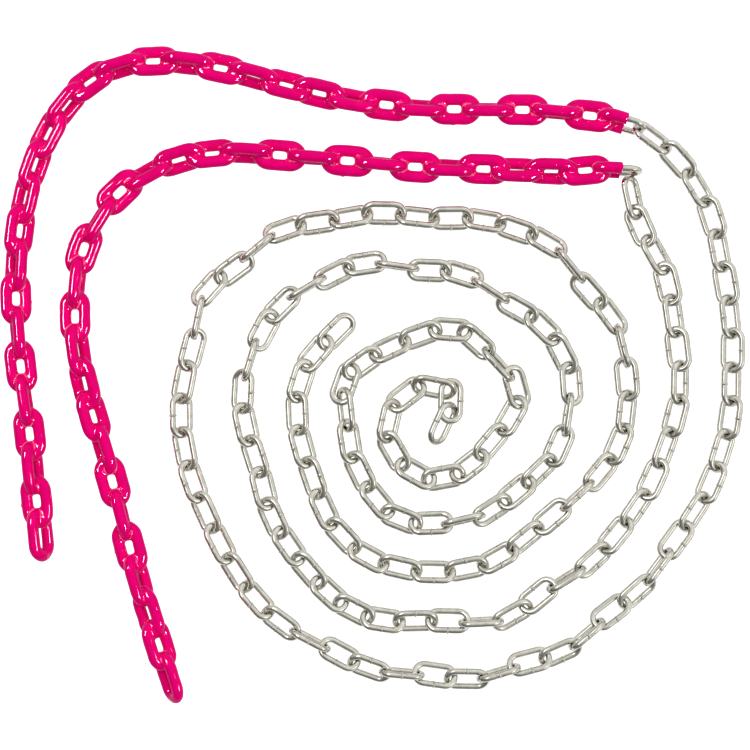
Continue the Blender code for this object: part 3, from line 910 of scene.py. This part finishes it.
# %% Helpers that add nodes
def add(tree, kind, inputs, **settings):
    """Adds a node, sets it up, and gives its inputs values or the outputs of other nodes."""
    made = tree.nodes.new("ShaderNode" + kind)
    for name, value in settings.items():
        setattr(made, name, value)
    for name, value in inputs.items():
        if isinstance(value, bpy.types.NodeSocket):
            tree.links.new(value, made.inputs[name])
        else:
            made.inputs[name].default_value = value
    return made


def new_material(name):
    """An empty node material: itself, its node tree and its Principled shader."""
    made = bpy.data.materials.new(name)
    made.use_nodes = True
    return made, made.node_tree, made.node_tree.nodes["Principled BSDF"]


def new_group(name, inputs, output):
    """A shader node group with named inputs and one output."""
    tree = bpy.data.node_groups.new(name, "ShaderNodeTree")
    for socket, (kind, value) in inputs.items():
        made = tree.interface.new_socket(socket, in_out="INPUT", socket_type="NodeSocket" + kind)
        if value is not None:
            made.default_value = value
    tree.interface.new_socket(output[0], in_out="OUTPUT", socket_type="NodeSocket" + output[1])
    entry = tree.nodes.new("NodeGroupInput").outputs
    leave = tree.nodes.new("NodeGroupOutput").inputs
    return tree, entry, leave


def use(tree, group, inputs):
    """Puts a group into a material and returns its output."""
    return add(tree, "Group", inputs, node_tree=group).outputs[0]


# %% [markdown]
# The next helpers each give back one output, a value or a colour, so that they can be put one inside
# another. That covers nearly all of a finish: read a value, waver, fade in and out, add or multiply, and
# mix.

# %% Helpers for values and colours
def kept(tree, name, output="Fac"):
    """A value that the mesh keeps on its points."""
    return add(tree, "Attribute", {}, attribute_name=name).outputs[output]


def noise(tree, place, scale, detail=2.0, roughness=0.5):
    """A noise value between 0 and 1. The scale is in waves per millimetre."""
    values = {"Vector": place, "Scale": scale, "Detail": detail, "Roughness": roughness}
    return add(tree, "TexNoise", values).outputs[0]


def ramp(tree, value, low, high, first=0.0, last=1.0):
    """Maps a value from low and high to first and last, softly at both ends."""
    made = add(tree, "MapRange", {"Value": value, "From Min": low, "From Max": high,
                                  "To Min": first, "To Max": last}, interpolation_type="SMOOTHSTEP")
    return made.outputs[0]


def maths(tree, operation, a, b):
    """Two values added, multiplied or compared."""
    return add(tree, "Math", {0: a, 1: b}, operation=operation).outputs[0]


def mixed(tree, share, a, b):
    """A colour mixed from two."""
    return add(tree, "Mix", {0: share, 6: a, 7: b}, data_type="RGBA").outputs[2]


def between(tree, share, a, b):
    """A value between two."""
    return add(tree, "Mix", {0: share, 2: a, 3: b}).outputs[0]


# %% [markdown]
# No finish has one colour all over. Plate is a little whiter or greyer from place to place, and vinyl a
# little thicker or thinner. One broad noise mixes two close colours, and a mask brings in a third where
# it is marked.

# %% Group: a colour that drifts
COLOUR = "Color"
drifting_colour, entry, leave = new_group(
    "drifting_colour",
    {"Place": ("Vector", None), "Waves per mm": ("Float", 0.1), "First": (COLOUR, (1, 1, 1, 1)),
     "Second": (COLOUR, (1, 1, 1, 1)), "Mark": ("Float", 0.0), "Marked": (COLOUR, (0, 0, 0, 1))},
    (COLOUR, COLOUR))
broad = noise(drifting_colour, entry["Place"], entry["Waves per mm"], 3.0)
share = ramp(drifting_colour, broad, 0.35, 0.65)
base = mixed(drifting_colour, share, entry["First"], entry["Second"])
marked = mixed(drifting_colour, entry["Mark"], base, entry["Marked"])
drifting_colour.links.new(marked, leave[COLOUR])
print("colour group:", len(drifting_colour.nodes), "nodes")

# %% [markdown]
# Gloss is not even either: hands and rubbing leave it smeared. It could be one number on the shader, but
# then each highlight would have the same edge. Here a noise moves it between a clean and a smeared value.

# %% Group: a gloss that has been handled
handled_gloss, entry, leave = new_group(
    "handled_gloss",
    {"Place": ("Vector", None), "Waves per mm": ("Float", 0.1), "Clean": ("Float", 0.1),
     "Smeared": ("Float", 0.2), "Mark": ("Float", 0.0), "Marked": ("Float", 0.4)},
    ("Roughness", "Float"))
blotches = noise(handled_gloss, entry["Place"], entry["Waves per mm"], 5.0, 0.62)
smear = ramp(handled_gloss, blotches, 0.46, 0.68)
gloss = between(handled_gloss, smear, entry["Clean"], entry["Smeared"])
rough = between(handled_gloss, entry["Mark"], gloss, entry["Marked"])
handled_gloss.links.new(rough, leave["Roughness"])
print("gloss group:", len(handled_gloss.nodes), "nodes")

# %% [markdown]
# The finest relief is left to a bump: fine grain, which can be stretched to lines, broad unevenness, and
# dents where a mask asks for them. As real faces it would take many millions of them and look the same.

# %% Group: grain in relief
grain_relief, entry, leave = new_group(
    "grain_relief",
    {"Place": ("Vector", None), "Stretch": ("Vector", (1, 1, 1)), "Fine per mm": ("Float", 2.0),
     "Fine Height": ("Float", 0.004), "Broad per mm": ("Float", 0.3), "Broad Height": ("Float", 0.03),
     "Mark": ("Float", 0.0), "Mark per mm": ("Float", 1.2), "Mark Height": ("Float", 0.1)},
    ("Height", "Float"))
stretched = {0: entry["Place"], 1: entry["Stretch"]}
drawn = add(grain_relief, "VectorMath", stretched, operation="MULTIPLY").outputs[0]
fine = maths(grain_relief, "MULTIPLY", noise(grain_relief, drawn, entry["Fine per mm"], 3.0),
             entry["Fine Height"])
wide = maths(grain_relief, "MULTIPLY", noise(grain_relief, entry["Place"], entry["Broad per mm"], 1.0),
             entry["Broad Height"])
dents = maths(grain_relief, "MULTIPLY", noise(grain_relief, entry["Place"], entry["Mark per mm"], 2.0),
              maths(grain_relief, "MULTIPLY", entry["Mark"], entry["Mark Height"]))
relief = maths(grain_relief, "ADD", maths(grain_relief, "ADD", fine, wide), dents)
grain_relief.links.new(relief, leave["Height"])
print("groups:", [group.name for group in bpy.data.node_groups])

# %% [markdown]
# The bare wire is bright zinc plate: a warm, pale grey metal with soft mottling and drawing lines. Two
# places differ. About the weld, the clamps and the spark leave a speckled, duller zone of small dents.
# And where a link bears on the next one, a faint rim of dirt gathers in the narrow gap round the place
# where they touch. Painted maps could hold all this, but the values on the points put each effect where
# it belongs on all links.

# %% Zinc plate: where the weld and the dirt are
zinc, tree, shader = new_material("zinc_plate")
place = kept(tree, "wire_place", "Vector")
from_weld = kept(tree, "from_weld")
next_wire = kept(tree, "next_wire")

WELD_ZONE = (2.6, 4.8)      # the duller zone fades out between these distances from the weld, in mm
RAGGED = 1.6                # millimetres by which its edge wanders
RIM_BEGINS = (0.25, 0.6)    # gap to the next wire over which the dirt comes in, in mm
RIM_ENDS = (0.8, 2.2)       # and goes out again
SPECK_STRENGTH = 0.4
DIRT_STRENGTH = 0.25

wander = ramp(tree, noise(tree, place, 0.45, 2.0), 0.2, 0.8, -RAGGED, RAGGED)
ragged = maths(tree, "ADD", from_weld, wander)
weld_zone = ramp(tree, ragged, *WELD_ZONE, 1.0, 0.0)
specks = maths(tree, "MULTIPLY", weld_zone, ramp(tree, noise(tree, place, 1.1, 2.0), 0.46, 0.60))
rim = maths(tree, "MULTIPLY", ramp(tree, next_wire, *RIM_BEGINS), ramp(tree, next_wire, *RIM_ENDS, 1.0, 0.0))
patches = ramp(tree, noise(tree, place, 0.8, 3.0), 0.3, 0.7, 0.0, DIRT_STRENGTH)
dirt = maths(tree, "MULTIPLY", rim, patches)
dull = maths(tree, "MAXIMUM", maths(tree, "MULTIPLY", specks, SPECK_STRENGTH), dirt)
print("zinc plate masks:", len(tree.nodes), "nodes")

# %% [markdown]
# With the masks in hand, the three groups are placed with the numbers of zinc. The fine grain is drawn
# out fifty times along the wire, which turns it into drawing lines. Strong polish and a soft, broad
# unevenness together break the reflections of the room into wavy bands, as on the real wire.

# %% Zinc plate: colour, gloss and relief
tree.links.new(use(tree, drifting_colour, {
    "Place": place, "Waves per mm": 0.22, "First": (0.74, 0.73, 0.69, 1), "Second": (0.64, 0.63, 0.59, 1),
    "Mark": dull, "Marked": (0.42, 0.405, 0.36, 1)}), shader.inputs["Base Color"])
tree.links.new(use(tree, handled_gloss, {
    "Place": place, "Waves per mm": 0.2, "Clean": 0.05, "Smeared": 0.1,
    "Mark": maths(tree, "MAXIMUM", weld_zone, dirt), "Marked": 0.2}), shader.inputs["Roughness"])
height = use(tree, grain_relief, {
    "Place": place, "Stretch": (0.02, 1.0, 1.0), "Fine per mm": 1.6, "Fine Height": 0.003,
    "Broad per mm": 0.18, "Broad Height": 0.06,
    "Mark": weld_zone, "Mark per mm": 0.7, "Mark Height": 0.03})
bump = add(tree, "Bump", {"Strength": 1.0, "Distance": MM, "Height": height})
tree.links.new(bump.outputs["Normal"], shader.inputs["Normal"])
shader.inputs["Metallic"].default_value = 1.0
for piece in bare_pieces:
    piece.data.materials.clear()
    piece.data.materials.append(zinc)
print("zinc plate nodes:", len(tree.nodes))

# %% [markdown]
# The vinyl is a glossy, even, hot pink skin. It is not perfect: it is a little uneven from the dip, which
# breaks the long highlights into beads, it is duller in the creases, where painted shade also darkens it,
# and it is a little smeared from hands. A painted highlight, a thin pale line, runs along the outer arcs of
# the bows. All of this is slight, for the strong flat colour is what the eye sees first.
# So strong a pink holds no green at all, and a plain white gleam over it would bring some back. The tint
# of the gleam keeps it pink at the face of the rod, and the lamps are bright enough to make it white
# where they are mirrored.

# %% Dipped vinyl: painted crease shade and painted highlight lines
vinyl, tree, shader = new_material("pink_vinyl")
flat = add(tree, "TexCoord", {}).outputs["Object"]
place = add(tree, "VectorMath", {0: flat, "Scale": 1 / MM}, operation="SCALE").outputs[0]

CREASE = (0.1, 1.3)         # the crease fades out between these distances, in mm
# strength of the painted shade in the creases
CREASE_SHADE_STRENGTH = 0.5
PAINTED_GLEAM_STRENGTH = 0.8
# colour of the painted highlight line
PAINTED_GLEAM_PINK = (0.98, 0.32, 0.42, 1)
PINK_GLEAM = (1.0, 0.16, 0.14, 1)

# Painted shade: the skin colour is darkened towards a deeper crimson in the creases between links.
crease = ramp(tree, kept(tree, "crease"), *CREASE, 1.0, 0.0)
skin_colour = use(tree, drifting_colour, {
    "Place": place, "Waves per mm": 0.07, "First": (0.67, 0.0, 0.205, 1), "Second": (0.62, 0.0, 0.19, 1),
    "Mark": maths(tree, "MULTIPLY", crease, CREASE_SHADE_STRENGTH), "Marked": (0.46, 0.0, 0.12, 1)})
# Painted highlight: a pale pink line is mixed into the colour along the outer arcs of the bows, and a paler
# patch round the drop on the hand eye.
painted_gleam = ramp(tree, kept(tree, "painted_gleam"), 0.1, 0.6, 0.0, PAINTED_GLEAM_STRENGTH)
painted_gleam = maths(tree, "MULTIPLY", painted_gleam, ramp(tree, noise(tree, place, 0.12, 1.0), 0.4, 0.6, 0.15, 1.0))
tree.links.new(mixed(tree, painted_gleam, skin_colour, PAINTED_GLEAM_PINK), shader.inputs["Base Color"])
shader.inputs["Specular Tint"].default_value = PINK_GLEAM
print("vinyl colour:", len(tree.nodes), "nodes")

# %% [markdown]
# The vinyl has the same groups with other numbers. Nothing has drawn it, so its grain is not stretched.
# The unevenness is broad and shallow, which moves the streaks of light a little without roughening them.

# %% Dipped vinyl: gloss and relief
tree.links.new(use(tree, handled_gloss, {
    "Place": place, "Waves per mm": 0.3, "Clean": 0.02, "Smeared": 0.05,
    "Mark": crease, "Marked": 0.1}), shader.inputs["Roughness"])
height = use(tree, grain_relief, {
    "Place": place, "Stretch": (1.0, 1.0, 1.0), "Fine per mm": 1.0, "Fine Height": 0.003,
    "Broad per mm": 0.26, "Broad Height": 0.04,
    "Mark": crease, "Mark per mm": 0.6, "Mark Height": 0.1})
bump = add(tree, "Bump", {"Strength": 1.0, "Distance": MM, "Height": height})
tree.links.new(bump.outputs["Normal"], shader.inputs["Normal"])
for skin in skins.values():
    skin.data.materials.clear()
    skin.data.materials.append(vinyl)
print("vinyl nodes:", len(tree.nodes))

# %% [markdown]
# The chains lie on a clean white table that runs out of the picture on all sides. A lit white plane would
# get grey where lamps are weak, so this one glows. A Light Path node tells which kind of ray looks at it:
# it is nearly white to the camera, a little less bright in the mirror of the steel, and it lights the
# chains from below even less, which leaves them their dark undersides. The little that is not glow takes
# their shadows.

# %% White table
FLOOR_HALF = 8.0            # half the width of the table, so that its edge is never seen
CAMERA_GLOW, GLOSSY_GLOW, DIFFUSE_GLOW = 0.85, 0.6, 0.4

floor_mesh = bpy.data.meshes.new("floor")
work = bmesh.new()
bmesh.ops.create_grid(work, x_segments=1, y_segments=1, size=FLOOR_HALF)
work.to_mesh(floor_mesh)
work.free()
floor = bpy.data.objects.new("floor", floor_mesh)
bpy.context.scene.collection.objects.link(floor)
paper, tree, shader = new_material("white_table")
shader.inputs["Base Color"].default_value = (0.1, 0.1, 0.1, 1)
shader.inputs["Roughness"].default_value = 0.9
shader.inputs["Emission Color"].default_value = (1.0, 1.0, 0.99, 1)
path = add(tree, "LightPath", {}).outputs
to_camera = maths(tree, "MULTIPLY", path["Is Camera Ray"], CAMERA_GLOW - DIFFUSE_GLOW)
to_mirror = maths(tree, "MULTIPLY", path["Is Glossy Ray"], GLOSSY_GLOW - DIFFUSE_GLOW)
glow = maths(tree, "ADD", maths(tree, "ADD", to_camera, to_mirror), DIFFUSE_GLOW)
tree.links.new(glow, shader.inputs["Emission Strength"])
floor_mesh.materials.append(paper)
print("table: %.0f m wide" % (2 * FLOOR_HALF))

# %% [markdown]
# Bright metal shows what stands round it more than its own colour. On the real chain the rods that face
# south and west are dark and those that face north and east are pale, so the room is darker on that side
# and lighter on this one. A picture of a studio wrapped round the scene would do this too, but it would
# put its own windows into the steel. Soft ramps over the direction of the ray give just the dark and the
# light that are wanted.

# %% The room
TOWARD_LIGHT = (0.57, 0.82, 0)   # the direction over the floor in which the room gets lighter
DARK_WALL = (0.215, 0.214, 0.204, 1)
PALE_WALL = (0.65, 0.645, 0.615, 1)
BRIGHT_WALL = (0.76, 0.755, 0.73, 1)
TURNS_PALE = (-0.8, 0.25)   # where along that direction, from -1 behind to 1 straight ahead
TURNS_BRIGHT = (0.1, 0.8)
LOW_STRENGTH, HIGH_STRENGTH = 0.6, 1.0   # brightness of the room at table height and overhead

world = bpy.data.worlds.new("studio")
bpy.context.scene.world = world
world.use_nodes = True
tree = world.node_tree
ray = add(tree, "TexCoord", {}).outputs["Generated"]
toward = add(tree, "VectorMath", {0: ray, 1: TOWARD_LIGHT}, operation="DOT_PRODUCT").outputs["Value"]
shade = mixed(tree, ramp(tree, toward, *TURNS_PALE), DARK_WALL, PALE_WALL)
sky = mixed(tree, ramp(tree, toward, *TURNS_BRIGHT), shade, BRIGHT_WALL)
upward = add(tree, "SeparateXYZ", {0: ray}).outputs["Z"]
brightness = ramp(tree, upward, 0.0, 0.5, LOW_STRENGTH, HIGH_STRENGTH)
tree.links.new(sky, tree.nodes["Background"].inputs["Color"])
tree.links.new(brightness, tree.nodes["Background"].inputs["Strength"])
print("room nodes:", len(tree.nodes))

# %% [markdown]
# The lamps are soft boxes, which are rectangles of light. The wire wants broad, weak panels that fade
# into the room, and the vinyl wants small, strong cores that leave a crisp white streak along each rod.
# One lamp can't be both, so light linking gives each finish its own: panels light only the wire, cores
# only the vinyl, and a core shows only as a gleam. A fill overhead lights everything softly and is not
# seen in the gloss.

# %% Lamps
PANEL_SIZE = (0.8, 0.5)     # sizes and places in metres
PANELS = {"left": ((-0.5, 0.1, 1.2), 1.3), "right": ((1.0, -0.6, 0.9), 0.6)}   # place and radiance
CORE_SIZE = (0.75, 0.33)
CORE_RADIANCE = 130
CORES = {"left": (-0.86, 0.3, 1.0), "right": (0.87, -0.42, 1.0)}
FILL_PLACE, FILL_SIZE, FILL_RADIANCE = (0, 0, 1.6), (2.0, 2.0), 1.2


def softbox(name, location, size, radiance):
    """A rectangular lamp that faces the middle of the heap, as bright to look at as its radiance says."""
    data = bpy.data.lights.new(name, "AREA")
    data.shape = "RECTANGLE"
    data.size, data.size_y = size
    data.energy = radiance * math.pi * size[0] * size[1]
    lamp = bpy.data.objects.new(name, data)
    lamp.location = location
    lamp.rotation_euler = (-Vector(location)).to_track_quat("-Z", "Y").to_euler()
    bpy.context.scene.collection.objects.link(lamp)
    return lamp


def group_of(name, members):
    """A collection that a lamp can be limited to."""
    made = bpy.data.collections.new(name)
    for member in members:
        made.objects.link(member)
    return made


vinyl_only = group_of("vinyl_for_the_cores", skins.values())
wire_only = group_of("wire_for_the_panels", bare_pieces)
for name, (location, radiance) in PANELS.items():
    panel = softbox(name + "_panel", location, PANEL_SIZE, radiance)
    panel.light_linking.receiver_collection = wire_only
for name, location in CORES.items():
    core = softbox(name + "_core", location, CORE_SIZE, CORE_RADIANCE)
    core.visible_diffuse = False
    core.light_linking.receiver_collection = vinyl_only
overhead = softbox("overhead_fill", FILL_PLACE, FILL_SIZE, FILL_RADIANCE)
overhead.visible_glossy = False
print("lamps:", [lamp.name for lamp in bpy.data.lights])

# %% [markdown]
# The camera looks straight down from above the middle of the lists, with a long lens, so that the links
# near the edge are hardly seen from the side. Its height follows from the width that the picture shows.
# The Standard view with high contrast keeps the pink pure and the table white.

# %% Camera
PIXELS = 750                # width of the picture
PIXEL = 0.7214 * MM         # what one of them shows
SHOWN_WIDTH = PIXEL * PIXELS
LENS = 100.0                # focal length and sensor width in millimetres, as on a real camera
SENSOR = 36.0
CHAIN_LEVEL = 8 * MM        # height at which the picture is as wide as that

camera_data = bpy.data.cameras.new("camera")
camera_data.lens = LENS
camera_data.sensor_width = SENSOR
camera = bpy.data.objects.new("camera", camera_data)
camera.location = (-CENTRE[0], -CENTRE[1], SHOWN_WIDTH * LENS / SENSOR + CHAIN_LEVEL)
bpy.context.scene.collection.objects.link(camera)
bpy.context.scene.camera = camera
bpy.context.scene.view_settings.view_transform = "Standard"
bpy.context.scene.view_settings.look = "High Contrast"
print("camera: %.2f m up" % camera.location.z)

# %% [markdown]
# Last, a helper that turns a box into plain lists of numbers.

# %% Finish
def plain(box):
    return [[float(v) for v in corner] for corner in box]
